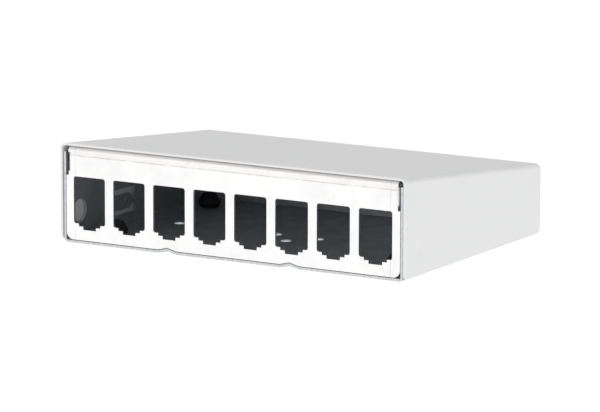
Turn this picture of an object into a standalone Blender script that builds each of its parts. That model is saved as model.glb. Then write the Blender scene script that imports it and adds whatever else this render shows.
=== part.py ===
"""Desktop surface-mount housing for eight jack modules, without its modules.

A powder-coated sheet-steel hood lifts off a galvanised tray.  The tray carries the module panel across its
front and stands on four push-in rubber feet.

Units are metres.  +X is the housing's right, the panel faces -Y, +Z is up.  The origin is at the middle of
the feet's undersides.
"""
import math

import bmesh
import bpy
from mathutils import Matrix, Vector

# Overall size
WIDTH = 0.158
DEPTH = 0.112
FRONT_HEIGHT = 0.0403       # hood's top above the tray's underside, at the front edge
REAR_HEIGHT = 0.0294        # the same at the rear edge
FOOT_DROP = 0.0025          # the feet stand this far below the tray

# Hood
HOOD_SHEET = 0.0009
HOOD_BEND = 0.0022
HOOD_LIFT = 0.0009          # the hood's side edges stop this far above the tray's underside
HOOD_FRONT_CORNER = 0.0020
HOOD_REAR_CORNER = 0.0025
HOOD_FLANGE_DROP = 0.0075   # rear flange, measured down from the top's rear edge
SNAP_Y = 0.0105             # snap dimples, from the front edge
SNAP_Z = 0.0112             # and above the tray's underside
SNAP_RADIUS = 0.0043
SNAP_DENT = 0.00045
SNAP_BUMP = 0.00025

# Tray
SHEET = 0.0010
SIDE_GAP = 0.0004           # hood to tray wall
TRAY_FRONT = 0.0005         # set back from the hood's front edge
TRAY_REAR = 0.1084
TRAY_BEND = 0.0015
WALL_FRONT_HEIGHT = 0.0368
SEAM = 0.0004
SEAM_LOW = 0.0012           # where the seam starts above the tray's underside
SNAP_HOLE_RADIUS = 0.0048
EARTH_WINDOW = ((0.0330, 0.0046), (0.0513, 0.0151))
EARTH_TAB = ((0.0330, 0.0065), (0.0495, 0.0128))
EARTH_TAB_CHAMFER = 0.0020
EARTH_TAB_HOLE = (0.0449, 0.0098, 0.0012)
CABLE_SLOT_X = 0.0420        # middle of the slot, right of centre
CABLE_SLOT_WIDTH = 0.034
CABLE_SLOT_LOW = 0.0080
CABLE_SLOT_HIGH = 0.0195
CABLE_SLOT_CORNER = 0.0030
FLOOR_HOLES = ((-0.0561, 0.0530), (-0.00975, 0.0530), (0.0, 0.0435), (0.00975, 0.0530), (0.0561, 0.0530))
FLOOR_HOLE_RADIUS = 0.00225

# Module panel
PANEL_SHEET = 0.0010
PANEL_SIDE_GAP = 0.0002
PANEL_LIFT = 0.0003         # gap between the tray's floor and the panel's lower edge
PANEL_TOP_GAP = 0.0003
PANEL_BEND = 0.0018
PANEL_LOW_CORNER = 0.0030
TOP_FLANGE_DEPTH = 0.0085
TOP_FLANGE_INSET = 0.0010   # its ends, in from the panel's ends
EAR_LOW = 0.0292            # an ear is bent back at each end of the panel's upper third
EAR_HIGH = 0.0366
EAR_DEPTH = 0.0080
EAR_INSET = 0.0006
RELIEF_LOW = 0.0274         # the relief notch under each ear
RELIEF_WIDTH = 0.0011

PORT_COUNT = 8
PORT_PITCH = 0.01875
PORT_WIDTH = 0.0148
PORT_TOP = 0.0271
PORT_SIDE_LOW = 0.0080
PORT_STEP_LOW = 0.0069
PORT_FLOOR = 0.0056
PORT_FIRST_LEDGE = 0.0023
PORT_SECOND_LEDGE = 0.0021
PORT_CORNER = 0.0010

# Darts pressed into the tray's front edge, under the third and sixth openings
DARTS = (-0.0291, 0.0271)    # where the two darts lie across the front
DART_HALF_WIDTH = 0.0044
DART_RISE = 0.0011
DART_LENGTH = 0.0080

# Push-in rubber feet
FOOT_X = 0.0650
FOOT_FRONT_Y = 0.0192
FOOT_REAR_Y = 0.0906
FOOT_RADIUS = 0.0060
FOOT_EDGE = 0.0006
FOOT_NECK_RADIUS = 0.0034
FOOT_HOLE_RADIUS = 0.0037
BARB_LOW_RADIUS = 0.0038
BARB_RADIUS = 0.0050
BARB_TOP_RADIUS = 0.0027
BARB_WIDEST = 0.0021        # heights above the tray's floor sheet
BARB_TOP = 0.0057

BEND_SEGMENTS = 4
LENS_RINGS = 3
LENS_SEGMENTS = 16
HOLE_SEGMENTS = 24
CLEARANCE = 0.0003          # between pieces that rest on one another
OVERCUT = 0.0020            # how far a cutter runs past what it cuts
HOLE_DEPTH = 0.0040         # length of a cutter through one sheet
SET_OFF = 0.00002           # keeps a cutter's face off the plane of the sheet beside it

HALF_WIDTH = WIDTH / 2
FRONT_Y = -DEPTH / 2
TOP_FALL = (FRONT_HEIGHT - REAR_HEIGHT) / DEPTH
TRAY_HALF_WIDTH = HALF_WIDTH - HOOD_SHEET - SIDE_GAP
PANEL_HALF_WIDTH = TRAY_HALF_WIDTH - SHEET - PANEL_SIDE_GAP
PANEL_TOP = FRONT_HEIGHT - HOOD_SHEET - PANEL_TOP_GAP

LEFT, RIGHT = (-1, 0, 0), (1, 0, 0)
FRONT, REAR = (0, -1, 0), (0, 1, 0)
DOWN, UP = (0, 0, -1), (0, 0, 1)
DIRECTIONS = (LEFT, RIGHT, FRONT, REAR, DOWN, UP)
SIDEWAYS = (math.pi / 2, 0.0, math.pi / 2)      # outline drawn in Y and Z, thickness along X
UPRIGHT = (math.pi / 2, 0.0, 0.0)               # outline drawn in X and Z, thickness along Y
SIDES = (("left", -1), ("right", 1))
FEET = tuple((f"foot_{depth_name}_{side_name}", side_sign * FOOT_X, y)
             for depth_name, y in (("front", FOOT_FRONT_Y), ("rear", FOOT_REAR_Y))
             for side_name, side_sign in SIDES)


def place(x, y, z):
    """A point given from the hood's front edge and the tray's underside."""
    return Vector((x, FRONT_Y + y, FOOT_DROP + z))


def clear_scene():
    for item in list(bpy.data.objects):
        bpy.data.objects.remove(item, do_unlink=True)


def collection(name):
    found = bpy.data.collections.new(name)
    bpy.context.scene.collection.children.link(found)
    return found


def material(name, colour, roughness, metallic):
    made = bpy.data.materials.new(name)
    made.use_nodes = True
    shader = made.node_tree.nodes["Principled BSDF"]
    shader.inputs["Base Color"].default_value = (*colour, 1.0)
    shader.inputs["Roughness"].default_value = roughness
    shader.inputs["Metallic"].default_value = metallic
    made.diffuse_color = (*colour, 1.0)
    return made


def add_object(name, mesh, group, finish=None):
    item = bpy.data.objects.new(name, mesh)
    group.objects.link(item)
    if finish:
        mesh.materials.append(finish)
    else:
        item.hide_render = True
        item.display_type = "WIRE"
    return item


def mesh_from(bm, name):
    bmesh.ops.recalc_face_normals(bm, faces=bm.faces)
    mesh = bpy.data.meshes.new(name)
    bm.to_mesh(mesh)
    bm.free()
    return mesh


def box(name, low, high):
    """A box cutter between two corners."""
    bm = bmesh.new()
    bmesh.ops.create_cube(bm, size=1.0)
    size = Vector(high) - Vector(low)
    bmesh.ops.scale(bm, vec=size, verts=bm.verts)
    item = add_object(name, mesh_from(bm, name), CUTTERS)
    item.location = (Vector(low) + Vector(high)) / 2
    return item


def cylinder(name, centre, radius, length, rotation=(0.0, 0.0, 0.0), segments=32):
    """A round cutter, along Z until it is turned."""
    bm = bmesh.new()
    bmesh.ops.create_cone(bm, cap_ends=True, segments=segments, radius1=radius, radius2=radius, depth=length)
    item = add_object(name, mesh_from(bm, name), CUTTERS)
    item.location = centre
    item.rotation_euler = rotation
    return item


def rounded(points, radii, steps=5):
    """A closed outline whose corners are replaced by arcs of the given radii."""
    outline = []
    count = len(points)
    for index, radius in enumerate(radii):
        corner = Vector(points[index])
        if radius == 0:
            outline.append(corner)
            continue
        before = (Vector(points[index - 1]) - corner).normalized()
        after = (Vector(points[(index + 1) % count]) - corner).normalized()
        half = before.angle(after) / 2
        centre = corner + (before + after).normalized() * radius / math.sin(half)
        start = corner + before * radius / math.tan(half) - centre
        turn = start.angle_signed(corner + after * radius / math.tan(half) - centre)
        for step in range(steps + 1):
            outline.append(centre + Matrix.Rotation(-turn * step / steps, 2) @ start)
    return outline


def slab(name, outline, thickness, centre, rotation):
    """A flat outline with a thickness, as a mesh that can cut."""
    curve = bpy.data.curves.new(name, "CURVE")
    curve.dimensions = "2D"
    curve.fill_mode = "BOTH"
    curve.extrude = thickness / 2
    spline = curve.splines.new("POLY")
    spline.points.add(len(outline) - 1)
    for point, (x, y) in zip(spline.points, outline):
        point.co = (x, y, 0.0, 1.0)
    spline.use_cyclic_u = True
    drawn = bpy.data.objects.new(name + "_outline", curve)
    CUTTERS.objects.link(drawn)
    evaluated = drawn.evaluated_get(bpy.context.evaluated_depsgraph_get())
    mesh = bpy.data.meshes.new_from_object(evaluated)
    bpy.data.objects.remove(drawn, do_unlink=True)
    bm = bmesh.new()
    bm.from_mesh(mesh)
    bmesh.ops.remove_doubles(bm, verts=bm.verts, dist=1e-6)
    item = add_object(name, mesh_from(bm, name), CUTTERS)
    item.location = centre
    item.rotation_euler = rotation
    return item


def boolean(target, tool, operation="DIFFERENCE"):
    change = target.modifiers.new(tool.name, "BOOLEAN")
    change.operation = operation
    change.solver = "EXACT"
    change.object = tool


def folded_shell(name, low, high, rear_top, open_sides, folds, radius, sheet, finish=None):
    """A sheet-metal box: some sides left open, some edges bent, walls grown inwards.

    open_sides names the missing faces by their outward direction and folds the pairs of faces that meet in a
    bend.  rear_top is the height of the rear wall's upper edge.
    """
    bm = bmesh.new()
    bmesh.ops.create_cube(bm, size=1.0)
    middle = (Vector(high) + Vector(low)) / 2
    bmesh.ops.scale(bm, vec=Vector(high) - Vector(low), verts=bm.verts)
    bmesh.ops.translate(bm, vec=middle, verts=bm.verts)
    for vert in bm.verts:
        if vert.co.y > middle.y and vert.co.z > middle.z:
            vert.co.z = rear_top
    bm.normal_update()
    sides = {direction: max(bm.faces, key=lambda face: face.normal.dot(Vector(direction)))
             for direction in DIRECTIONS}
    bent = [edge for edge in bm.edges
            if any(sides[first] in edge.link_faces and sides[second] in edge.link_faces
                   for first, second in folds)]
    missing = [sides[direction].normal.copy() for direction in open_sides]
    bmesh.ops.bevel(bm, geom=bent, offset=radius, offset_type="OFFSET", segments=BEND_SEGMENTS, profile=0.5,
                    affect="EDGES", clamp_overlap=False)
    bm.normal_update()
    gone = [face for face in bm.faces if any(face.normal.dot(normal) > 0.9999 for normal in missing)]
    bmesh.ops.delete(bm, geom=gone, context="FACES")
    item = add_object(name, mesh_from_open(bm, name, middle), PARTS if finish else CUTTERS, finish)
    wall = item.modifiers.new("sheet", "SOLIDIFY")
    wall.thickness = sheet
    wall.offset = -1.0
    wall.use_even_offset = True
    wall.use_quality_normals = True
    return item


def mesh_from_open(bm, name, inside):
    """An open shell with its normals pointing away from a point inside it."""
    bmesh.ops.recalc_face_normals(bm, faces=bm.faces)
    largest = max(bm.faces, key=lambda face: face.calc_area())
    if largest.normal.dot(largest.calc_center_median() - inside) < 0:
        bmesh.ops.reverse_faces(bm, faces=bm.faces)
    mesh = bpy.data.meshes.new(name)
    bm.to_mesh(mesh)
    bm.free()
    return mesh


def port_centre(index):
    return (index - (PORT_COUNT - 1) / 2) * PORT_PITCH


def snap_lens(name, side, face_x, depth, back):
    """A shallow turned lens about the X axis: it cuts a dimple or raises one.

    It reaches depth inwards from a side's face and runs back outwards from it.
    """
    shares = [step / LENS_RINGS for step in range(LENS_RINGS + 1)]
    profile = [(back, 0.0), (back, SNAP_RADIUS)]
    profile += [(-depth * math.sin(math.pi / 2 * share) ** 2, SNAP_RADIUS * (1 - share)) for share in shares]
    bm = bmesh.new()
    verts = [bm.verts.new((x, radius, 0.0)) for x, radius in profile]
    edges = [bm.edges.new(pair) for pair in zip(verts, verts[1:])]
    bmesh.ops.spin(bm, geom=verts + edges, cent=(0, 0, 0), axis=(1, 0, 0), angle=math.tau,
                   steps=LENS_SEGMENTS, use_duplicate=False)
    bmesh.ops.remove_doubles(bm, verts=bm.verts, dist=1e-6)
    bmesh.ops.scale(bm, vec=(side, 1.0, 1.0), verts=bm.verts)
    item = add_object(name, mesh_from(bm, name), CUTTERS)
    item.location = place(side * (face_x + SET_OFF), SNAP_Y, SNAP_Z)
    return item


def build_hood(finish):
    low = place(-HALF_WIDTH, -OVERCUT, -OVERCUT)
    high = place(HALF_WIDTH, DEPTH, FRONT_HEIGHT + TOP_FALL * OVERCUT)
    rear_top = FOOT_DROP + REAR_HEIGHT
    hood = folded_shell("hood", low, high, rear_top, (FRONT, DOWN),
                        ((UP, LEFT), (UP, RIGHT), (UP, REAR)), HOOD_BEND, HOOD_SHEET, finish)
    above = FRONT_HEIGHT + OVERCUT
    side = rounded([(0, HOOD_LIFT), (0, above), (DEPTH + SET_OFF, above), (DEPTH + SET_OFF, HOOD_LIFT)],
                   [HOOD_FRONT_CORNER, 0, 0, HOOD_REAR_CORNER])
    boolean(hood, slab("hood_side_outline", side, WIDTH + 2 * OVERCUT, place(0, 0, 0), SIDEWAYS), "INTERSECT")

    inner_half = HALF_WIDTH - HOOD_SHEET + SET_OFF
    rear_inner = DEPTH - HOOD_SHEET - CLEARANCE
    outer = DEPTH + OVERCUT
    boolean(hood, box("hood_flange_trim", place(-inner_half, rear_inner, -OVERCUT),
                      place(inner_half, outer, REAR_HEIGHT - HOOD_FLANGE_DROP)))
    for side_name, side_sign in SIDES:
        seam = sorted((side_sign * (inner_half - SEAM), side_sign * inner_half))
        boolean(hood, box("hood_seam_" + side_name, place(seam[0], DEPTH - HOOD_BEND, -OVERCUT),
                          place(seam[1], outer, REAR_HEIGHT - HOOD_BEND / 2)))
        bump = snap_lens("snap_bump_" + side_name, side_sign, HALF_WIDTH - HOOD_SHEET, SNAP_BUMP,
                         HOOD_SHEET / 4)
        boolean(hood, bump, "UNION")
        dent = snap_lens("snap_dent_" + side_name, side_sign, HALF_WIDTH, SNAP_DENT, OVERCUT)
        boolean(hood, dent)
    return hood


def dart(name, x, lift):
    """The wedge-shaped space under one pressed dart, running back from the front edge."""
    bm = bmesh.new()
    bmesh.ops.create_cone(bm, cap_ends=True, segments=4, radius1=1.0, radius2=0.0, depth=1.0)
    bmesh.ops.rotate(bm, matrix=Matrix.Rotation(math.pi / 2, 3, "Z"), verts=bm.verts)
    stretch = 1.0 + OVERCUT / DART_LENGTH
    bmesh.ops.scale(bm, vec=(DART_HALF_WIDTH * stretch, DART_RISE * stretch, DART_LENGTH + OVERCUT),
                    verts=bm.verts)
    item = add_object(name, mesh_from(bm, name), CUTTERS)
    item.location = place(x, TRAY_FRONT + (DART_LENGTH - OVERCUT) / 2, lift)
    item.rotation_euler = (-math.pi / 2, 0.0, 0.0)
    return item


def build_tray(finish):
    low = place(-TRAY_HALF_WIDTH, TRAY_FRONT, 0.0)
    high = place(TRAY_HALF_WIDTH, TRAY_REAR, WALL_FRONT_HEIGHT)
    rear_top = FOOT_DROP + WALL_FRONT_HEIGHT - TOP_FALL * (TRAY_REAR - TRAY_FRONT)
    tray = folded_shell("tray", low, high, rear_top, (FRONT, UP),
                        ((DOWN, LEFT), (DOWN, RIGHT), (DOWN, REAR)), TRAY_BEND, SHEET, finish)
    # the side walls butt against the rear wall and stand clear of its inner face
    seam_front, seam_rear = TRAY_REAR - SHEET - SEAM, TRAY_REAR - SHEET + SET_OFF
    for side_name, side_sign in SIDES:
        seam = sorted((side_sign * (TRAY_HALF_WIDTH - SHEET - CLEARANCE), side_sign * (TRAY_HALF_WIDTH + OVERCUT)))
        boolean(tray, box("tray_seam_" + side_name, place(seam[0], seam_front, SEAM_LOW),
                          place(seam[1], seam_rear, WALL_FRONT_HEIGHT)))
        centre = place(side_sign * TRAY_HALF_WIDTH, SNAP_Y, SNAP_Z)
        boolean(tray, cylinder("snap_hole_" + side_name, centre, SNAP_HOLE_RADIUS, HOLE_DEPTH,
                               (0, math.pi / 2, 0)))
        boolean(tray, slab("earth_window_" + side_name, earth_window_outline(), HOLE_DEPTH,
                           place(side_sign * TRAY_HALF_WIDTH, 0, 0), SIDEWAYS))
        hole_y, hole_z, hole_radius = EARTH_TAB_HOLE
        boolean(tray, cylinder("earth_tab_hole_" + side_name,
                               place(side_sign * TRAY_HALF_WIDTH, hole_y, hole_z), hole_radius, HOLE_DEPTH,
                               (0, math.pi / 2, 0), 16))
    half = CABLE_SLOT_WIDTH / 2
    slot = rounded([(-half, CABLE_SLOT_LOW), (half, CABLE_SLOT_LOW), (half, CABLE_SLOT_HIGH),
                    (-half, CABLE_SLOT_HIGH)], [CABLE_SLOT_CORNER] * 4)
    boolean(tray, slab("cable_slot", slot, HOLE_DEPTH, place(CABLE_SLOT_X, TRAY_REAR, 0), UPRIGHT))
    for index, (x, y) in enumerate(FLOOR_HOLES):
        boolean(tray, cylinder(f"floor_hole_{index}", place(x, y, 0), FLOOR_HOLE_RADIUS, HOLE_DEPTH,
                               segments=HOLE_SEGMENTS))
    for name, x, y in FEET:
        boolean(tray, cylinder(name + "_hole", place(x, y, 0), FOOT_HOLE_RADIUS, HOLE_DEPTH, segments=HOLE_SEGMENTS))
    for index, x in enumerate(DARTS):
        reach = DART_LENGTH + OVERCUT
        trimmed = dart(f"dart_metal_{index}", x, SHEET)
        boolean(trimmed, box(f"dart_trim_{index}", place(x - reach, TRAY_FRONT - reach, -reach),
                             place(x + reach, TRAY_FRONT, reach)))
        boolean(tray, trimmed, "UNION")
        boolean(tray, dart(f"dart_space_{index}", x, 0.0))
    return tray


def earth_window_outline():
    """The window around an earth blade: the blade stays joined at its front end."""
    (front, low), (rear, high) = EARTH_WINDOW
    (_, tab_low), (tip, tab_high) = EARTH_TAB
    chamfer = EARTH_TAB_CHAMFER
    return [(front, low), (rear, low), (rear, high), (front, high), (front, tab_high),
            (tip - chamfer, tab_high), (tip, tab_high - chamfer), (tip, tab_low + chamfer),
            (tip - chamfer, tab_low), (front, tab_low)]


def port_outline():
    """One module opening: a rounded rectangle whose lower edge steps down to the middle."""
    half = PORT_WIDTH / 2
    first = half - PORT_FIRST_LEDGE
    second = first - PORT_SECOND_LEDGE
    right = [(second, PORT_FLOOR), (second, PORT_STEP_LOW), (first, PORT_STEP_LOW), (first, PORT_SIDE_LOW),
             (half, PORT_SIDE_LOW), (half, PORT_TOP)]
    left = [(-x, z) for x, z in reversed(right)]
    corner = PORT_CORNER
    return rounded(right + left, [0, 0, 0, 0, corner, corner, corner, corner, 0, 0, 0, 0])


def build_panel(finish):
    """A flat plate with the openings, a flange bent back along its top and an ear bent back at each end."""
    low_edge = SHEET + PANEL_LIFT
    flat_half = PANEL_HALF_WIDTH - EAR_INSET - PANEL_BEND
    top_half = PANEL_HALF_WIDTH - TOP_FLANGE_INSET
    rear = TRAY_FRONT + TOP_FLANGE_DEPTH
    panel = folded_shell("module_panel", place(-top_half, TRAY_FRONT, low_edge),
                         place(top_half, rear, PANEL_TOP), FOOT_DROP + PANEL_TOP - TOP_FALL * TOP_FLANGE_DEPTH,
                         (LEFT, RIGHT, REAR, DOWN), ((FRONT, UP),), PANEL_BEND, PANEL_SHEET, finish)
    for side_name, side_sign in SIDES:
        ends = sorted((side_sign * flat_half, side_sign * (PANEL_HALF_WIDTH + OVERCUT)))
        boolean(panel, box("panel_end_" + side_name, place(ends[0], TRAY_FRONT - OVERCUT, -OVERCUT),
                           place(ends[1], rear + OVERCUT, EAR_HIGH)))
        ear_ends = sorted((side_sign * (PANEL_HALF_WIDTH - EAR_INSET), side_sign * (flat_half - OVERCUT)))
        outer, inner = (LEFT, RIGHT) if side_sign < 0 else (RIGHT, LEFT)
        ear = folded_shell("ear_" + side_name, place(ear_ends[0], TRAY_FRONT, EAR_LOW),
                           place(ear_ends[1], TRAY_FRONT + EAR_DEPTH, EAR_HIGH), FOOT_DROP + EAR_HIGH,
                           (inner, REAR, DOWN, UP), ((FRONT, outer),), PANEL_BEND, PANEL_SHEET)
        boolean(panel, ear, "UNION")
        wing = rounded([(flat_half - OVERCUT, low_edge), (PANEL_HALF_WIDTH, low_edge),
                        (PANEL_HALF_WIDTH, RELIEF_LOW), (PANEL_HALF_WIDTH - RELIEF_WIDTH, RELIEF_LOW),
                        (PANEL_HALF_WIDTH - RELIEF_WIDTH, EAR_LOW), (flat_half - OVERCUT, EAR_LOW)],
                       [0, PANEL_LOW_CORNER, 0, 0, 0, 0])
        if side_sign < 0:
            wing = [(-x, z) for x, z in reversed(wing)]
        boolean(panel, slab("wing_" + side_name, wing, PANEL_SHEET,
                            place(0, TRAY_FRONT + PANEL_SHEET / 2, 0), UPRIGHT), "UNION")
    for index in range(PORT_COUNT):
        boolean(panel, slab(f"port_{index + 1}", port_outline(), 4 * PANEL_SHEET,
                            place(port_centre(index), TRAY_FRONT, 0), UPRIGHT))
    for index, x in enumerate(DARTS):
        boolean(panel, dart(f"dart_clearance_{index}", x, low_edge))
    return panel


def build_foot(name, x, y, finish):
    """A push-in foot, turned: a pad below the floor, a neck through it and a barb above it."""
    floor = SHEET
    profile = [
        (0.0, floor + BARB_TOP),
        (BARB_TOP_RADIUS, floor + BARB_TOP),
        (BARB_RADIUS, floor + BARB_WIDEST),
        (BARB_LOW_RADIUS, floor + CLEARANCE),
        (FOOT_NECK_RADIUS, floor + CLEARANCE),
        (FOOT_NECK_RADIUS, -CLEARANCE),
        (FOOT_RADIUS - FOOT_EDGE / 2, -CLEARANCE),
        (FOOT_RADIUS, -CLEARANCE - FOOT_EDGE),
        (FOOT_RADIUS - FOOT_EDGE, -FOOT_DROP),
        (0.0, -FOOT_DROP),
    ]
    mesh = bpy.data.meshes.new(name)
    mesh.from_pydata([(r, 0.0, z) for r, z in profile], [(i, i + 1) for i in range(len(profile) - 1)], [])
    foot = add_object(name, mesh, PARTS, finish)
    foot.location = place(x, y, 0.0)
    turn = foot.modifiers.new("turn", "SCREW")
    turn.steps = 32
    turn.render_steps = 32
    turn.use_merge_vertices = True
    turn.merge_threshold = 0.00001
    turn.use_smooth_shade = True
    return foot


clear_scene()
PARTS = collection("module_housing")
CUTTERS = collection("cutters")

white_coat = material("white_powder_coat", (0.80, 0.80, 0.80), 0.45, 0.0)
galvanised = material("galvanised_steel", (0.74, 0.75, 0.76), 0.38, 1.0)
black_rubber = material("black_rubber", (0.012, 0.012, 0.013), 0.6, 0.0)

build_hood(white_coat)
build_tray(galvanised)
build_panel(galvanised)
for foot_name, foot_x, foot_y in FEET:
    build_foot(foot_name, foot_x, foot_y, black_rubber)
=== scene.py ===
"""Looks of the desktop housing for eight jack modules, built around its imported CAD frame.

Every visible piece is rebuilt here at a fine resolution with the CAD's own dimensions, and stands for its CAD
node.  Units are metres.  +X is the housing's right, the module panel faces -Y, +Z is up.
"""
import math

import bmesh
import bpy
from mathutils import Matrix, Vector


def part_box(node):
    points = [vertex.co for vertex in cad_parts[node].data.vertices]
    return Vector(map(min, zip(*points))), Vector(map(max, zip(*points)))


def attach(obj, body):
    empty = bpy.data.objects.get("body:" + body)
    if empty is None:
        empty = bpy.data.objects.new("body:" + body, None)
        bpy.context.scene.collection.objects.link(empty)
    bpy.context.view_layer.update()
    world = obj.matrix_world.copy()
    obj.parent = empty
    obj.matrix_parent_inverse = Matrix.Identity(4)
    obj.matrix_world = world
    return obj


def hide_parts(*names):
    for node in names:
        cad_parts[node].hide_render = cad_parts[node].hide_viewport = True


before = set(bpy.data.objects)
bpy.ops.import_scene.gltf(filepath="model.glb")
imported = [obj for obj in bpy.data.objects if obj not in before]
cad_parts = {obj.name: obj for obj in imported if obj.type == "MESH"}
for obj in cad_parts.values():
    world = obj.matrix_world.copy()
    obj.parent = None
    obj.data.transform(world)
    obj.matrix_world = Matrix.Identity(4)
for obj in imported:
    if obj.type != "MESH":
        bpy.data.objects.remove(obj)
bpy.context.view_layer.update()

# Sheet thicknesses and bends
HOOD_SHEET = 0.0009
SHEET = 0.0010
HOOD_BEND = 0.0022
TRAY_BEND = 0.0015
PANEL_BEND = 0.0018
BEND_SEGMENTS = 12
EDGE_BREAK = 0.00010        # rounding of a galvanised piece's cut edges
COAT_EDGE = 0.00022         # rounding that the powder coat gives the hood's edges

# Hood
HOOD_FRONT_CORNER = 0.0020
HOOD_REAR_CORNER = 0.0025
HOOD_FLANGE_DROP = 0.0075
SNAP_Y = 0.0105
SNAP_Z = 0.0112
SNAP_RADIUS = 0.0043
SNAP_DENT = 0.00045
SNAP_BUMP = 0.00025
LENS_RINGS = 10
LENS_SEGMENTS = 56

# Tray
SEAM = 0.0004
SEAM_LOW = 0.0012
SNAP_HOLE_RADIUS = 0.0048
EARTH_WINDOW = ((0.0330, 0.0046), (0.0513, 0.0151))
EARTH_TAB = ((0.0330, 0.0065), (0.0495, 0.0128))
EARTH_TAB_CHAMFER = 0.0020
EARTH_TAB_HOLE = (0.0449, 0.0098, 0.0012)
CABLE_SLOT_X = 0.0420
CABLE_SLOT_WIDTH = 0.034
CABLE_SLOT_LOW = 0.0080
CABLE_SLOT_HIGH = 0.0195
CABLE_SLOT_CORNER = 0.0030
FLOOR_HOLES = ((-0.0561, 0.0530), (-0.00975, 0.0530), (0.0, 0.0435), (0.00975, 0.0530), (0.0561, 0.0530))
FLOOR_HOLE_RADIUS = 0.00225
FOOT_HOLE_RADIUS = 0.0037

# Module panel
PANEL_LIFT = 0.0003
PANEL_LOW_CORNER = 0.0030
TOP_FLANGE_DEPTH = 0.0085
TOP_FLANGE_INSET = 0.0010
DIE_LINE_DROP = 0.0034      # the die's line below the top bend's peak
DIE_LINE_INSET = 0.0042     # the die's lines inside both ends
EAR_LOW = 0.0292
EAR_HIGH = 0.0366
EAR_DEPTH = 0.0080
EAR_INSET = 0.0006
EAR_SLIT = 0.00005
RELIEF_LOW = 0.0274
RELIEF_WIDTH = 0.0011
PORT_COUNT = 8
PORT_PITCH = 0.01875
PORT_WIDTH = 0.0148
PORT_TOP = 0.0271
PORT_SIDE_LOW = 0.0080
PORT_STEP_LOW = 0.0069
PORT_FLOOR = 0.0056
PORT_FIRST_LEDGE = 0.0023
PORT_SECOND_LEDGE = 0.0021
PORT_CORNER = 0.0010
DARTS = (-0.0291, 0.0271)
DART_HALF_WIDTH = 0.0044
DART_RISE = 0.0011
DART_LENGTH = 0.0080

# Feet, turned about Z
FOOT_EDGE = 0.0006
FOOT_NECK_RADIUS = 0.0034
BARB_LOW_RADIUS = 0.0038
BARB_RADIUS = 0.0050
BARB_TOP_RADIUS = 0.0027
BARB_WIDEST = 0.0021
BARB_TOP = 0.0057
FOOT_DISH_RADIUS = 0.0036
FOOT_DISH_DEPTH = 0.0004
FOOT_DISH_SLOPE = 0.0004
FOOT_STEPS = 64
BARB_DISH_DEPTH = 0.0004
BARB_DISH_FLOOR = 0.55      # shares of the barb's top radius
BARB_DISH_LIP = 0.60
BARB_EDGE = 0.00012         # roundings, from sharpest to softest
FINE_EDGE = 0.0001
SOFT_EDGE = 0.0002
PAD_EDGE = 0.0003
PAD_LOW_EDGE = 0.0004

CLEARANCE = 0.0003
OVERCUT = 0.0020
HOLE_DEPTH = 0.0040
SET_OFF = 0.00002

# Places that follow from the frame
HOOD_LOW, HOOD_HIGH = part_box("hood")
TRAY_LOW, TRAY_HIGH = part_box("tray")
PANEL_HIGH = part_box("module_panel")[1]
DEPTH = HOOD_HIGH.y - HOOD_LOW.y
HALF_WIDTH = HOOD_HIGH.x
FRONT_Y = HOOD_LOW.y
FOOT_DROP = TRAY_LOW.z
FRONT_HEIGHT = HOOD_HIGH.z - FOOT_DROP
HOOD_LIFT = HOOD_LOW.z - FOOT_DROP
REAR_HEIGHT = 0.0294
TOP_FALL = (FRONT_HEIGHT - REAR_HEIGHT) / DEPTH
TRAY_HALF_WIDTH = TRAY_HIGH.x
TRAY_FRONT = TRAY_LOW.y - FRONT_Y
TRAY_REAR = TRAY_HIGH.y - FRONT_Y
WALL_FRONT_HEIGHT = TRAY_HIGH.z - FOOT_DROP
PANEL_HALF_WIDTH = PANEL_HIGH.x
PANEL_TOP = PANEL_HIGH.z - FOOT_DROP
DIE_LINE_Z = FOOT_DROP + PANEL_TOP - DIE_LINE_DROP
DIE_LINE_X = PANEL_HALF_WIDTH - DIE_LINE_INSET

LEFT, RIGHT = (-1, 0, 0), (1, 0, 0)
FRONT, REAR = (0, -1, 0), (0, 1, 0)
DOWN, UP = (0, 0, -1), (0, 0, 1)
DIRECTIONS = (LEFT, RIGHT, FRONT, REAR, DOWN, UP)
SIDEWAYS = (math.pi / 2, 0.0, math.pi / 2)
UPRIGHT = (math.pi / 2, 0.0, 0.0)
SIDES = (("left", -1), ("right", 1))

# Camera and light
CAMERA_AZIMUTH = 30.51
CAMERA_ELEVATION = 10.70
CAMERA_ROLL = 0.14
CAMERA_DISTANCE = 1.768
CAMERA_TARGET = (0.001, -0.003, 0.0162)
CAMERA_LENS = 264.0
SENSOR_WIDTH = 36.0
FLOOR_SIZE = 6.0
FLOOR_GLOW = 0.97
WORLD_HORIZON = 0.92
WORLD_ZENITH = 0.57
SOFTBOX_AZIMUTH = -20.0
SOFTBOX_ELEVATION = 20.0
SOFTBOX_DISTANCE = 1.2
SOFTBOX_SIZE = 0.8
SOFTBOX_WATTS = 0.8


def place(x, y, z):
    """A point given from the hood's front edge and the tray's underside."""
    return Vector((x, FRONT_Y + y, FOOT_DROP + z))


# ---------------------------------------------------------------- materials

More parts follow.
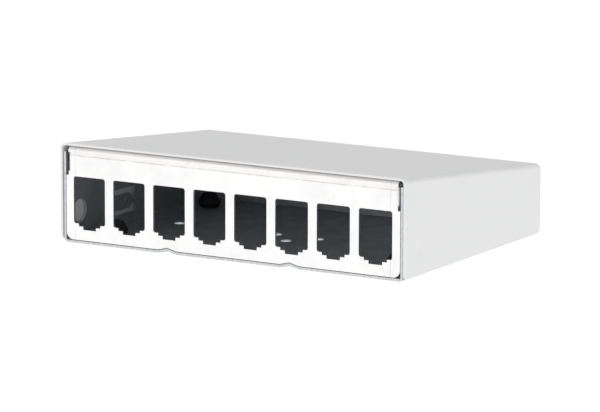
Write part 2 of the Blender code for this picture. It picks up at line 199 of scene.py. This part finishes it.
class Nodes:
    """A material's node tree, with short calls to add nodes and link them."""

    def __init__(self, name):
        self.material = bpy.data.materials.new(name)
        self.material.use_nodes = True
        self.tree = self.material.node_tree
        self.shader = self.tree.nodes["Principled BSDF"]
        self.place = self.add("ShaderNodeTexCoord").outputs["Object"]

    def add(self, kind, **settings):
        node = self.tree.nodes.new(kind)
        for key, value in settings.items():
            setattr(node, key, value)
        return node

    def link(self, source, target):
        self.tree.links.new(source, target)

    def feed(self, socket, value):
        if isinstance(value, bpy.types.NodeSocket):
            self.link(value, socket)
        else:
            socket.default_value = value

    def stretched(self, factors):
        """The object's coordinates, scaled by axis."""
        mapping = self.add("ShaderNodeMapping")
        mapping.inputs["Scale"].default_value = factors
        self.link(self.place, mapping.inputs["Vector"])
        return mapping.outputs["Vector"]

    def noise(self, scale, detail=2.0, roughness=0.5, vector=None):
        node = self.add("ShaderNodeTexNoise")
        node.inputs["Scale"].default_value = scale
        node.inputs["Detail"].default_value = detail
        node.inputs["Roughness"].default_value = roughness
        self.link(vector or self.place, node.inputs["Vector"])
        return node.outputs["Fac"]

    def cells(self, scale):
        """A random colour for each crystal of a spangle."""
        node = self.add("ShaderNodeTexVoronoi")
        node.inputs["Scale"].default_value = scale
        self.link(self.place, node.inputs["Vector"])
        return node.outputs["Color"]

    def math(self, operation, first, second=0.0, clamp=False):
        node = self.add("ShaderNodeMath", operation=operation, use_clamp=clamp)
        self.feed(node.inputs[0], first)
        self.feed(node.inputs[1], second)
        return node.outputs[0]

    def span(self, value, low, high, to_low=0.0, to_high=1.0):
        """Maps low..high of a value to another range, clamped and smooth."""
        node = self.add("ShaderNodeMapRange", interpolation_type="SMOOTHSTEP")
        self.link(value, node.inputs["Value"])
        for socket, number in zip(("From Min", "From Max", "To Min", "To Max"), (low, high, to_low, to_high)):
            node.inputs[socket].default_value = number
        return node.outputs["Result"]

    def mix(self, factor, first, second, blend="MIX"):
        node = self.add("ShaderNodeMix", data_type="RGBA", blend_type=blend)
        self.feed(node.inputs["Factor"], factor)
        for index, value in ((6, first), (7, second)):
            self.feed(node.inputs[index], value if isinstance(value, bpy.types.NodeSocket) else (*value, 1.0))
        return node.outputs[2]

    def axis(self, letter):
        node = self.add("ShaderNodeSeparateXYZ")
        self.link(self.place, node.inputs[0])
        return node.outputs[letter]

    def bump(self, height, distance, strength=1.0):
        node = self.add("ShaderNodeBump")
        node.inputs["Distance"].default_value = distance
        node.inputs["Strength"].default_value = strength
        self.link(height, node.inputs["Height"])
        self.link(node.outputs["Normal"], self.shader.inputs["Normal"])
        return node

    def set(self, **values):
        for name, value in values.items():
            self.feed(self.shader.inputs[name.replace("_", " ")], value)


def white_powder_coat():
    """Satin powder coat: a fine orange peel, with a little more and less gloss from place to place."""
    made = Nodes("white_powder_coat_fine")
    peel = made.noise(1300.0, 3.0, 0.55)
    grain = made.noise(5200.0, 1.0)
    height = made.math("ADD", peel, made.math("MULTIPLY", grain, 0.25))
    made.bump(height, 0.00003, 0.35)
    drift = made.noise(24.0, 2.0)
    tone = made.mix(made.span(drift, 0.35, 0.65), (0.835, 0.838, 0.843), (0.85, 0.852, 0.856))
    made.set(Base_Color=tone, Roughness=made.span(peel, 0.3, 0.7, 0.40, 0.50), Metallic=0.0)
    made.shader.inputs["IOR"].default_value = 1.5
    return made.material


def galvanised(name, light, dark, rough_low, rough_high, shine=1.0, die_lines_and_shade_band=None):
    """Hot-dip zinc: fine crystals, soft blotches and small specks.

    shine is the share that reflects as bare metal; the rest scatters, as passivated zinc does.
    die_lines_and_shade_band adds the die's lines to the module panel: one below its top bend and one inside
    each end; it also paints shade, darker and warmer, over the strip above the top line, under the hood's
    overhang.
    """
    made = Nodes(name)
    blotch = made.span(made.noise(75.0, 4.0, 0.6), 0.40, 0.68)
    crystal = made.add("ShaderNodeSeparateColor")
    made.link(made.cells(420.0), crystal.inputs[0])
    grain = made.noise(2400.0, 3.0, 0.6)
    specks = made.span(made.noise(1100.0, 2.0, 0.7), 0.66, 0.72)
    warm = tuple(channel * tint for channel, tint in zip(dark, (1.02, 1.0, 0.975)))
    tone = made.mix(blotch, light, dark)
    tone = made.mix(made.math("MULTIPLY", crystal.outputs[0], 0.45), tone, warm)
    tone = made.mix(made.math("MULTIPLY", specks, 0.55), tone, tuple(channel * 0.55 for channel in dark))
    roughness = made.span(crystal.outputs[1], 0.0, 1.0, rough_low, rough_high)
    roughness = made.math("ADD", roughness, made.math("MULTIPLY", blotch, 0.08))
    height = made.math("ADD", made.math("MULTIPLY", crystal.outputs[2], 0.6),
                       made.math("MULTIPLY", grain, 0.5))
    if die_lines_and_shade_band:
        line = made.span(made.math("ABSOLUTE", made.math("SUBTRACT", made.axis("Z"), die_lines_and_shade_band[0])),
                         0.00008, 0.00030, 1.0, 0.0)
        ends = made.span(made.math("ABSOLUTE", made.math("SUBTRACT",
                                                         made.math("ABSOLUTE", made.axis("X")), die_lines_and_shade_band[1])),
                         0.00008, 0.00034, 0.5, 0.0)
        broken = made.span(made.noise(260.0, 3.0, 0.6), 0.30, 0.62, 0.35, 1.0)
        mark = made.math("MULTIPLY", made.math("MAXIMUM", line, ends), broken)
        tone = made.mix(made.math("MULTIPLY", mark, 0.55), tone, (0.40, 0.34, 0.27))
        # Painted shade: the strip above the top die line, under the hood's overhang, is mixed darker and
        # warmer
        above = made.span(made.axis("Z"), die_lines_and_shade_band[0], die_lines_and_shade_band[0] + 0.0006)
        tone = made.mix(made.math("MULTIPLY", above, 0.3), tone, (0.80, 0.765, 0.735))
        height = made.math("SUBTRACT", height, made.math("MULTIPLY", mark, 1.5))
    made.bump(height, 0.000012, 0.5)
    made.set(Base_Color=tone, Roughness=roughness, Metallic=shine)
    return made.material


def cut_edge():
    """Sheared edge of the galvanised sheet: greyer, rougher and streaked across its thickness."""
    made = Nodes("sheared_zinc_edge")
    streaks = made.noise(1.0, 2.0, 0.6, made.stretched((2400.0, 2400.0, 500.0)))
    tone = made.mix(made.span(streaks, 0.3, 0.7), (0.50, 0.51, 0.53), (0.70, 0.71, 0.72))
    made.bump(streaks, 0.00001, 0.4)
    made.set(Base_Color=tone, Roughness=made.span(streaks, 0.3, 0.7, 0.28, 0.40), Metallic=1.0)
    return made.material


def black_rubber():
    made = Nodes("black_rubber_fine")
    grain = made.noise(2600.0, 3.0, 0.6)
    bloom = made.span(made.noise(180.0, 3.0), 0.45, 0.75)
    tone = made.mix(bloom, (0.010, 0.010, 0.011), (0.020, 0.020, 0.021))
    made.bump(grain, 0.00003, 0.5)
    made.set(Base_Color=tone, Roughness=made.span(grain, 0.3, 0.7, 0.50, 0.68), Metallic=0.0)
    return made.material


def pale_floor(glow):
    """A light table: white, and bright enough of itself to show no shadow."""
    made = Nodes("pale_floor")
    made.set(Base_Color=(0.08, 0.08, 0.08, 1.0), Roughness=0.9)
    made.shader.inputs["Emission Color"].default_value = (1.0, 1.0, 1.0, 1.0)
    made.shader.inputs["Emission Strength"].default_value = glow
    return made.material


# ---------------------------------------------------------------- mesh helpers

def add_object(name, mesh, materials=()):
    item = bpy.data.objects.new(name, mesh)
    bpy.context.scene.collection.objects.link(item)
    for finish in materials:
        mesh.materials.append(finish)
    return item


def mesh_from(bm, name):
    bmesh.ops.recalc_face_normals(bm, faces=bm.faces)
    mesh = bpy.data.meshes.new(name)
    bm.to_mesh(mesh)
    bm.free()
    return mesh


def box(name, low, high):
    """A box between two corners."""
    bm = bmesh.new()
    bmesh.ops.create_cube(bm, size=1.0)
    bmesh.ops.scale(bm, vec=Vector(high) - Vector(low), verts=bm.verts)
    item = add_object(name, mesh_from(bm, name))
    item.location = (Vector(low) + Vector(high)) / 2
    return item


def cylinder(name, centre, radius, length, rotation=(0.0, 0.0, 0.0), segments=64):
    """A round cutter, along Z until it is turned."""
    bm = bmesh.new()
    bmesh.ops.create_cone(bm, cap_ends=True, segments=segments, radius1=radius, radius2=radius, depth=length)
    item = add_object(name, mesh_from(bm, name))
    item.location = centre
    item.rotation_euler = rotation
    return item


def rounded(points, radii, steps=8):
    """A closed outline whose corners are replaced by arcs of the given radii."""
    outline = []
    count = len(points)
    for index, radius in enumerate(radii):
        corner = Vector(points[index])
        if radius == 0:
            outline.append(corner)
            continue
        before = (Vector(points[index - 1]) - corner).normalized()
        after = (Vector(points[(index + 1) % count]) - corner).normalized()
        half = before.angle(after) / 2
        centre = corner + (before + after).normalized() * radius / math.sin(half)
        start = corner + before * radius / math.tan(half) - centre
        turn = start.angle_signed(corner + after * radius / math.tan(half) - centre)
        for step in range(steps + 1):
            outline.append(centre + Matrix.Rotation(-turn * step / steps, 2) @ start)
    return outline


def slab(name, outline, thickness, centre, rotation):
    """A flat outline with a thickness, as a mesh that can cut."""
    curve = bpy.data.curves.new(name, "CURVE")
    curve.dimensions = "2D"
    curve.fill_mode = "BOTH"
    curve.extrude = thickness / 2
    spline = curve.splines.new("POLY")
    spline.points.add(len(outline) - 1)
    for point, (x, y) in zip(spline.points, outline):
        point.co = (x, y, 0.0, 1.0)
    spline.use_cyclic_u = True
    drawn = bpy.data.objects.new(name + "_outline", curve)
    bpy.context.scene.collection.objects.link(drawn)
    evaluated = drawn.evaluated_get(bpy.context.evaluated_depsgraph_get())
    mesh = bpy.data.meshes.new_from_object(evaluated)
    bpy.data.objects.remove(drawn, do_unlink=True)
    bm = bmesh.new()
    bm.from_mesh(mesh)
    bmesh.ops.remove_doubles(bm, verts=bm.verts, dist=1e-6)
    item = add_object(name, mesh_from(bm, name))
    item.location = centre
    item.rotation_euler = rotation
    return item


def baked(item):
    """The object's mesh as its modifiers leave it."""
    bpy.context.view_layer.update()
    evaluated = item.evaluated_get(bpy.context.evaluated_depsgraph_get())
    mesh = bpy.data.meshes.new_from_object(evaluated)
    item.modifiers.clear()
    item.data = mesh


def boolean(target, tool, operation="DIFFERENCE", finish=None):
    """Cuts or joins at once, and removes the tool.  finish is the material of the new faces."""
    if finish is not None:
        tool.data.materials.append(finish)
    change = target.modifiers.new(tool.name, "BOOLEAN")
    change.operation = operation
    change.solver = "EXACT"
    change.material_mode = "TRANSFER"
    change.object = tool
    baked(target)
    bpy.data.objects.remove(tool, do_unlink=True)


def open_mesh(bm, name, inside):
    """An open shell with its normals pointing away from a point inside it."""
    bmesh.ops.recalc_face_normals(bm, faces=bm.faces)
    largest = max(bm.faces, key=lambda face: face.calc_area())
    if largest.normal.dot(largest.calc_center_median() - inside) < 0:
        bmesh.ops.reverse_faces(bm, faces=bm.faces)
    mesh = bpy.data.meshes.new(name)
    bm.to_mesh(mesh)
    bm.free()
    return mesh


def thicken(item, sheet):
    """Grows a surface inwards to a sheet, whose rims take the object's second material."""
    wall = item.modifiers.new("sheet", "SOLIDIFY")
    wall.thickness = sheet
    wall.offset = -1.0
    wall.use_even_offset = True
    wall.use_quality_normals = True
    wall.material_offset_rim = 1
    baked(item)


def folded_shell(name, low, high, rear_top, open_sides, folds, radius, sheet, materials):
    """A sheet-metal box: some sides left open, some edges bent, walls grown inwards.

    materials are the sheet's surface and its cut edge.
    """
    bm = bmesh.new()
    bmesh.ops.create_cube(bm, size=1.0)
    middle = (Vector(high) + Vector(low)) / 2
    bmesh.ops.scale(bm, vec=Vector(high) - Vector(low), verts=bm.verts)
    bmesh.ops.translate(bm, vec=middle, verts=bm.verts)
    for vert in bm.verts:
        if vert.co.y > middle.y and vert.co.z > middle.z:
            vert.co.z = rear_top
    bm.normal_update()
    sides = {direction: max(bm.faces, key=lambda face: face.normal.dot(Vector(direction)))
             for direction in DIRECTIONS}
    bent = [edge for edge in bm.edges
            if any(sides[first] in edge.link_faces and sides[second] in edge.link_faces
                   for first, second in folds)]
    missing = [sides[direction].normal.copy() for direction in open_sides]
    bmesh.ops.bevel(bm, geom=bent, offset=radius, offset_type="OFFSET", segments=BEND_SEGMENTS, profile=0.5,
                    affect="EDGES", clamp_overlap=False)
    bm.normal_update()
    gone = [face for face in bm.faces if any(face.normal.dot(normal) > 0.9999 for normal in missing)]
    bmesh.ops.delete(bm, geom=gone, context="FACES")
    item = add_object(name, open_mesh(bm, name, middle), materials)
    thicken(item, sheet)
    return item


def finished(item, edge, clean=True):
    """Cleans a cut mesh, rounds its edges a little and shades its bends smooth."""
    bm = bmesh.new()
    bm.from_mesh(item.data)
    bmesh.ops.remove_doubles(bm, verts=bm.verts, dist=2e-6)
    if clean:
        bmesh.ops.dissolve_limit(bm, angle_limit=math.radians(0.3), verts=bm.verts, edges=bm.edges,
                                 delimit={"MATERIAL"})
    bmesh.ops.recalc_face_normals(bm, faces=bm.faces)
    bm.to_mesh(item.data)
    bm.free()
    rounding = item.modifiers.new("edge", "BEVEL")
    rounding.width = edge
    rounding.segments = 2
    rounding.limit_method = "ANGLE"
    rounding.angle_limit = math.radians(40)
    rounding.use_clamp_overlap = True
    rounding.harden_normals = False
    baked(item)
    item.data.shade_smooth()
    item.data.set_sharp_from_angle(angle=math.radians(35))
    weighted = item.modifiers.new("normals", "WEIGHTED_NORMAL")
    weighted.keep_sharp = True
    weighted.weight = 100
    baked(item)
    return item


def port_centre(index):
    return (index - (PORT_COUNT - 1) / 2) * PORT_PITCH


# ---------------------------------------------------------------- pieces

def snap_lens(name, side, face_x, depth, back):
    """A shallow turned lens about the X axis: depth inwards from a side's face, and back outwards from it."""
    shares = [step / LENS_RINGS for step in range(LENS_RINGS + 1)]
    profile = [(back, 0.0), (back, SNAP_RADIUS)]
    profile += [(-depth * math.sin(math.pi / 2 * share) ** 2, SNAP_RADIUS * (1 - share)) for share in shares]
    bm = bmesh.new()
    verts = [bm.verts.new((x, radius, 0.0)) for x, radius in profile]
    edges = [bm.edges.new(pair) for pair in zip(verts, verts[1:])]
    bmesh.ops.spin(bm, geom=verts + edges, cent=(0, 0, 0), axis=(1, 0, 0), angle=math.tau,
                   steps=LENS_SEGMENTS, use_duplicate=False)
    bmesh.ops.remove_doubles(bm, verts=bm.verts, dist=1e-6)
    bmesh.ops.scale(bm, vec=(side, 1.0, 1.0), verts=bm.verts)
    item = add_object(name, mesh_from(bm, name))
    item.location = place(side * (face_x + SET_OFF), SNAP_Y, SNAP_Z)
    return item


def make_hood(coat):
    low = place(-HALF_WIDTH, -OVERCUT, -OVERCUT)
    high = place(HALF_WIDTH, DEPTH, FRONT_HEIGHT + TOP_FALL * OVERCUT)
    hood = folded_shell("hood_shell", low, high, FOOT_DROP + REAR_HEIGHT, (FRONT, DOWN),
                        ((UP, LEFT), (UP, RIGHT), (UP, REAR)), HOOD_BEND, HOOD_SHEET, (coat,))
    above = FRONT_HEIGHT + OVERCUT
    side = rounded([(0, HOOD_LIFT), (0, above), (DEPTH + SET_OFF, above), (DEPTH + SET_OFF, HOOD_LIFT)],
                   [HOOD_FRONT_CORNER, 0, 0, HOOD_REAR_CORNER])
    boolean(hood, slab("hood_side_outline", side, 2 * HALF_WIDTH + 2 * OVERCUT, place(0, 0, 0), SIDEWAYS),
            "INTERSECT", coat)
    inner_half = HALF_WIDTH - HOOD_SHEET + SET_OFF
    rear_inner = DEPTH - HOOD_SHEET - CLEARANCE
    outer = DEPTH + OVERCUT
    boolean(hood, box("hood_flange_trim", place(-inner_half, rear_inner, -OVERCUT),
                      place(inner_half, outer, REAR_HEIGHT - HOOD_FLANGE_DROP)), finish=coat)
    for side_name, side_sign in SIDES:
        seam = sorted((side_sign * (inner_half - SEAM), side_sign * inner_half))
        boolean(hood, box("hood_seam_" + side_name, place(seam[0], DEPTH - HOOD_BEND, -OVERCUT),
                          place(seam[1], outer, REAR_HEIGHT - HOOD_BEND / 2)), finish=coat)
        boolean(hood, snap_lens("snap_bump_" + side_name, side_sign, HALF_WIDTH - HOOD_SHEET, SNAP_BUMP,
                                HOOD_SHEET / 4), "UNION", coat)
        boolean(hood, snap_lens("snap_dent_" + side_name, side_sign, HALF_WIDTH, SNAP_DENT, OVERCUT),
                finish=coat)
    return finished(hood, COAT_EDGE)


def dart(name, x, lift):
    """The wedge-shaped space under one pressed dart, running back from the front edge."""
    bm = bmesh.new()
    bmesh.ops.create_cone(bm, cap_ends=True, segments=4, radius1=1.0, radius2=0.0, depth=1.0)
    bmesh.ops.rotate(bm, matrix=Matrix.Rotation(math.pi / 2, 3, "Z"), verts=bm.verts)
    stretch = 1.0 + OVERCUT / DART_LENGTH
    bmesh.ops.scale(bm, vec=(DART_HALF_WIDTH * stretch, DART_RISE * stretch, DART_LENGTH + OVERCUT),
                    verts=bm.verts)
    item = add_object(name, mesh_from(bm, name))
    item.location = place(x, TRAY_FRONT + (DART_LENGTH - OVERCUT) / 2, lift)
    item.rotation_euler = (-math.pi / 2, 0.0, 0.0)
    return item


def earth_window_outline():
    """The window around an earth blade: the blade stays joined at its front end."""
    (front, low), (rear, high) = EARTH_WINDOW
    (_, tab_low), (tip, tab_high) = EARTH_TAB
    chamfer = EARTH_TAB_CHAMFER
    return [(front, low), (rear, low), (rear, high), (front, high), (front, tab_high),
            (tip - chamfer, tab_high), (tip, tab_high - chamfer), (tip, tab_low + chamfer),
            (tip - chamfer, tab_low), (front, tab_low)]


def make_tray(zinc, edge, feet):
    low = place(-TRAY_HALF_WIDTH, TRAY_FRONT, 0.0)
    high = place(TRAY_HALF_WIDTH, TRAY_REAR, WALL_FRONT_HEIGHT)
    rear_top = FOOT_DROP + WALL_FRONT_HEIGHT - TOP_FALL * (TRAY_REAR - TRAY_FRONT)
    tray = folded_shell("tray_folded", low, high, rear_top, (FRONT, UP),
                        ((DOWN, LEFT), (DOWN, RIGHT), (DOWN, REAR)), TRAY_BEND, SHEET, (zinc, edge))
    across = (0, math.pi / 2, 0)
    seam_front, seam_rear = TRAY_REAR - SHEET - SEAM, TRAY_REAR - SHEET + SET_OFF
    for side_name, side_sign in SIDES:
        seam = sorted((side_sign * (TRAY_HALF_WIDTH - SHEET - CLEARANCE),
                       side_sign * (TRAY_HALF_WIDTH + OVERCUT)))
        boolean(tray, box("tray_seam_" + side_name, place(seam[0], seam_front, SEAM_LOW),
                          place(seam[1], seam_rear, WALL_FRONT_HEIGHT)), finish=edge)
        wall_x = side_sign * TRAY_HALF_WIDTH
        boolean(tray, cylinder("snap_hole_" + side_name, place(wall_x, SNAP_Y, SNAP_Z), SNAP_HOLE_RADIUS,
                               HOLE_DEPTH, across), finish=edge)
        boolean(tray, slab("earth_window_" + side_name, earth_window_outline(), HOLE_DEPTH,
                           place(wall_x, 0, 0), SIDEWAYS), finish=edge)
        hole_y, hole_z, hole_radius = EARTH_TAB_HOLE
        boolean(tray, cylinder("earth_tab_hole_" + side_name, place(wall_x, hole_y, hole_z), hole_radius,
                               HOLE_DEPTH, across, 32), finish=edge)
    half = CABLE_SLOT_WIDTH / 2
    slot = rounded([(-half, CABLE_SLOT_LOW), (half, CABLE_SLOT_LOW), (half, CABLE_SLOT_HIGH),
                    (-half, CABLE_SLOT_HIGH)], [CABLE_SLOT_CORNER] * 4)
    boolean(tray, slab("cable_slot", slot, HOLE_DEPTH, place(CABLE_SLOT_X, TRAY_REAR, 0), UPRIGHT),
            finish=edge)
    for index, (x, y) in enumerate(FLOOR_HOLES):
        boolean(tray, cylinder(f"floor_hole_{index}", place(x, y, 0), FLOOR_HOLE_RADIUS, HOLE_DEPTH,
                               segments=48), finish=edge)
    for name in feet:
        boolean(tray, cylinder(name + "_hole", foot_centre(name), FOOT_HOLE_RADIUS, HOLE_DEPTH, segments=48),
                finish=edge)
    reach = DART_LENGTH + OVERCUT
    for index, x in enumerate(DARTS):
        metal = dart(f"dart_metal_{index}", x, SHEET)
        metal.data.materials.append(zinc)
        boolean(metal, box(f"dart_trim_{index}", place(x - reach, TRAY_FRONT - reach, -reach),
                           place(x + reach, TRAY_FRONT, reach)), finish=edge)
        boolean(tray, metal, "UNION")
        boolean(tray, dart(f"dart_space_{index}", x, 0.0), finish=zinc)
    return finished(tray, EDGE_BREAK)


def port_outline():
    """One module opening: a rounded rectangle whose lower edge steps down to the middle."""
    half = PORT_WIDTH / 2
    first = half - PORT_FIRST_LEDGE
    second = first - PORT_SECOND_LEDGE
    right = [(second, PORT_FLOOR), (second, PORT_STEP_LOW), (first, PORT_STEP_LOW), (first, PORT_SIDE_LOW),
             (half, PORT_SIDE_LOW), (half, PORT_TOP)]
    left = [(-x, z) for x, z in reversed(right)]
    corner = PORT_CORNER
    return rounded(right + left, [0, 0, 0, 0, corner, corner, corner, corner, 0, 0, 0, 0])


def panel_blank(flat_half, ear_end, top_end):
    """The flat panel's outline before folding: the lower edge with its darts, then round by the right."""
    low = SHEET + PANEL_LIFT
    half = PANEL_HALF_WIDTH
    neck = half - RELIEF_WIDTH
    top_half = half - TOP_FLANGE_INSET
    darts = [point for x in DARTS
             for point in ((x - DART_HALF_WIDTH, low), (x, low + DART_RISE), (x + DART_HALF_WIDTH, low))]
    right = [(half, low), (half, RELIEF_LOW), (neck, RELIEF_LOW), (neck, EAR_LOW - EAR_SLIT),
             (flat_half, EAR_LOW - EAR_SLIT), (flat_half, EAR_LOW), (ear_end, EAR_LOW), (ear_end, EAR_HIGH),
             (flat_half, EAR_HIGH), (flat_half, EAR_HIGH + EAR_SLIT), (top_half, EAR_HIGH + EAR_SLIT),
             (top_half, top_end)]
    radii = [PANEL_LOW_CORNER] + [0] * (len(right) - 1)
    left = [(-x, z) for x, z in reversed(right)]
    return rounded(darts + right + left, [0] * len(darts) + radii + radii[::-1])


def fold(distance, start, turn):
    """Where a point of the blank lands: how far back it goes, and how far along the unbent direction."""
    past = distance - start
    if past <= 0:
        return 0.0, distance
    bend = min(past / PANEL_BEND, turn)
    straight = max(past - PANEL_BEND * turn, 0.0)
    back = PANEL_BEND * (1 - math.cos(bend)) + straight * math.sin(turn)
    along = start + PANEL_BEND * math.sin(bend) + straight * math.cos(turn)
    return back, along


def make_panel(zinc, edge):
    """The panel is cut flat with its openings, then its top flange and its two ears are folded back."""
    flat_half = PANEL_HALF_WIDTH - EAR_INSET - PANEL_BEND
    bend_start = PANEL_TOP - PANEL_BEND
    top_turn = math.pi / 2 + math.atan(TOP_FALL)
    ear_end = flat_half + PANEL_BEND * math.pi / 2 + EAR_DEPTH - PANEL_BEND
    top_end = bend_start + PANEL_BEND * top_turn + TOP_FLANGE_DEPTH - PANEL_BEND
    ports = [[(x + port_centre(index), z) for x, z in port_outline()] for index in range(PORT_COUNT)]
    bm = bmesh.new()
    for loop in [panel_blank(flat_half, ear_end, top_end)] + ports:
        verts = [bm.verts.new((x, 0.0, z)) for x, z in loop]
        for index, vert in enumerate(verts):
            bm.edges.new((verts[index - 1], vert))
    bmesh.ops.triangle_fill(bm, use_beauty=True, edges=bm.edges)
    for step in range(BEND_SEGMENTS + 1):
        share = step / BEND_SEGMENTS
        height = bend_start + PANEL_BEND * top_turn * share
        reach = flat_half + PANEL_BEND * math.pi / 2 * share
        for point, normal in (((0, 0, height), UP), ((reach, 0, 0), RIGHT), ((-reach, 0, 0), LEFT)):
            bmesh.ops.bisect_plane(bm, geom=bm.verts[:] + bm.edges[:] + bm.faces[:], plane_co=point,
                                   plane_no=normal, dist=1e-7)
    for vert in bm.verts:
        x, z = vert.co.x, vert.co.z
        if EAR_LOW - SET_OFF < z < EAR_HIGH + SET_OFF:
            back, along = fold(abs(x), flat_half, math.pi / 2)
            vert.co = place(math.copysign(along, x), TRAY_FRONT + back, z)
        else:
            back, along = fold(z, bend_start, top_turn)
            vert.co = place(x, TRAY_FRONT + back, along)
    panel = add_object("panel_punched", open_mesh(bm, "panel_punched", place(0, DEPTH / 2, 0)), (zinc, edge))
    thicken(panel, SHEET)
    return finished(panel, EDGE_BREAK, clean=False)


def foot_centre(node):
    low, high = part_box(node)
    return Vector(((low.x + high.x) / 2, (low.y + high.y) / 2, FOOT_DROP))


def make_foot(node, rubber):
    """A push-in foot, turned, with a shallow dish in its sole and rounded lips."""
    low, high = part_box(node)
    radius = (high.x - low.x) / 2
    floor = SHEET
    points = [(0.0, floor + BARB_TOP - BARB_DISH_DEPTH),
              (BARB_TOP_RADIUS * BARB_DISH_FLOOR, floor + BARB_TOP - BARB_DISH_DEPTH),
              (BARB_TOP_RADIUS * BARB_DISH_LIP, floor + BARB_TOP),
              (BARB_TOP_RADIUS, floor + BARB_TOP),
              (BARB_RADIUS, floor + BARB_WIDEST),
              (BARB_LOW_RADIUS, floor + CLEARANCE),
              (FOOT_NECK_RADIUS, floor + CLEARANCE),
              (FOOT_NECK_RADIUS, -CLEARANCE),
              (radius, -CLEARANCE),
              (radius, -CLEARANCE - FOOT_EDGE * 2),
              (radius - FOOT_EDGE, -FOOT_DROP),
              (FOOT_DISH_RADIUS, -FOOT_DROP),
              (FOOT_DISH_RADIUS - FOOT_DISH_SLOPE, -FOOT_DROP + FOOT_DISH_DEPTH),
              (0.0, -FOOT_DROP + FOOT_DISH_DEPTH)]
    radii = [0, FINE_EDGE, FINE_EDGE, BARB_EDGE, BARB_EDGE, SOFT_EDGE, FINE_EDGE, FINE_EDGE, PAD_EDGE,
             PAD_LOW_EDGE, PAD_EDGE, SOFT_EDGE, SOFT_EDGE, 0]
    profile = rounded(points, radii, 4)
    mesh = bpy.data.meshes.new(node + "_turned")
    mesh.from_pydata([(r, 0.0, z) for r, z in profile], [(i, i + 1) for i in range(len(profile) - 1)], [])
    foot = add_object(node + "_turned", mesh, (rubber,))
    foot.location = foot_centre(node)
    turn = foot.modifiers.new("turn", "SCREW")
    turn.steps = FOOT_STEPS
    turn.render_steps = FOOT_STEPS
    turn.use_merge_vertices = True
    turn.merge_threshold = 0.00001
    turn.use_smooth_shade = True
    baked(foot)
    foot.data.set_sharp_from_angle(angle=math.radians(50))
    return foot


# ---------------------------------------------------------------- stage

def add_floor(size, glow):
    bm = bmesh.new()
    bmesh.ops.create_grid(bm, x_segments=1, y_segments=1, size=size / 2)
    floor = add_object("stage_floor", mesh_from(bm, "stage_floor"), (pale_floor(glow),))


def add_softbox(name, azimuth, elevation, distance, size, watts):
    """A square area light aimed at the housing.  Azimuths and elevations are as the camera's."""
    light = bpy.data.lights.new(name, "AREA")
    light.shape = "SQUARE"
    light.size = size
    light.energy = watts
    item = bpy.data.objects.new(name, light)
    bpy.context.scene.collection.objects.link(item)
    turn, rise = math.radians(azimuth), math.radians(elevation)
    away = Vector((math.sin(turn) * math.cos(rise), -math.cos(turn) * math.cos(rise), math.sin(rise)))
    item.location = away * distance
    item.rotation_euler = (-away).to_track_quat("-Z", "Y").to_euler()


def add_world(horizon, zenith):
    """Soft light from all round, brighter near the horizon than overhead."""
    world = bpy.data.worlds.new("soft_studio")
    world.use_nodes = True
    tree = world.node_tree
    direction = tree.nodes.new("ShaderNodeTexCoord")
    split = tree.nodes.new("ShaderNodeSeparateXYZ")
    tree.links.new(direction.outputs["Generated"], split.inputs[0])
    fall = tree.nodes.new("ShaderNodeMapRange")
    fall.inputs["To Min"].default_value = horizon
    fall.inputs["To Max"].default_value = zenith
    tree.links.new(split.outputs["Z"], fall.inputs["Value"])
    tree.links.new(fall.outputs["Result"], tree.nodes["Background"].inputs["Strength"])
    tree.nodes["Background"].inputs["Color"].default_value = (1.0, 1.0, 1.0, 1.0)
    bpy.context.scene.world = world


def add_camera():
    data = bpy.data.cameras.new("camera")
    data.lens = CAMERA_LENS
    data.sensor_width = SENSOR_WIDTH
    data.clip_start = 0.05
    data.clip_end = 20.0
    camera = bpy.data.objects.new("camera", data)
    bpy.context.scene.collection.objects.link(camera)
    turn, rise = math.radians(CAMERA_AZIMUTH), math.radians(CAMERA_ELEVATION)
    away = Vector((math.sin(turn) * math.cos(rise), -math.cos(turn) * math.cos(rise), math.sin(rise)))
    camera.location = Vector(CAMERA_TARGET) + away * CAMERA_DISTANCE
    aim = (-away).to_track_quat("-Z", "Y").to_matrix()
    camera.rotation_euler = (aim @ Matrix.Rotation(math.radians(CAMERA_ROLL), 3, "Z")).to_euler()
    bpy.context.scene.camera = camera


coat = white_powder_coat()
panel_zinc = galvanised("galvanised_panel", (0.95, 0.95, 0.95), (0.90, 0.90, 0.905), 0.30, 0.42,
                        die_lines_and_shade_band=(DIE_LINE_Z, DIE_LINE_X))
# Painted shade: the tray is the panel's galvanised steel made about half as bright and less metallic, for the
# shaded inside of the housing
tray_zinc_painted_shade = galvanised("galvanised_tray_painted_shade", (0.50, 0.52, 0.545), (0.44, 0.458, 0.48), 0.40, 0.54,
                       shine=0.85)
zinc_edge = cut_edge()
rubber = black_rubber()

feet = [node for node in sorted(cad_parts) if node.startswith("foot_")]
pieces = [(make_hood(coat), "hood", "hood", "white_powder_coat"),
          (make_tray(tray_zinc_painted_shade, zinc_edge, feet), "tray", "tray", "galvanised_steel"),
          (make_panel(panel_zinc, zinc_edge), "module_panel", "tray", "galvanised_steel")]
pieces += [(make_foot(node, rubber), node, "tray", "black_rubber") for node in feet]
for piece, node, body, slot in pieces:
    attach(piece, body)
    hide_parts(node)

add_floor(FLOOR_SIZE, FLOOR_GLOW)
add_world(WORLD_HORIZON, WORLD_ZENITH)
add_softbox("front_softbox", SOFTBOX_AZIMUTH, SOFTBOX_ELEVATION, SOFTBOX_DISTANCE, SOFTBOX_SIZE,
            SOFTBOX_WATTS)
add_camera()
bpy.context.scene.view_settings.view_transform = "Standard"
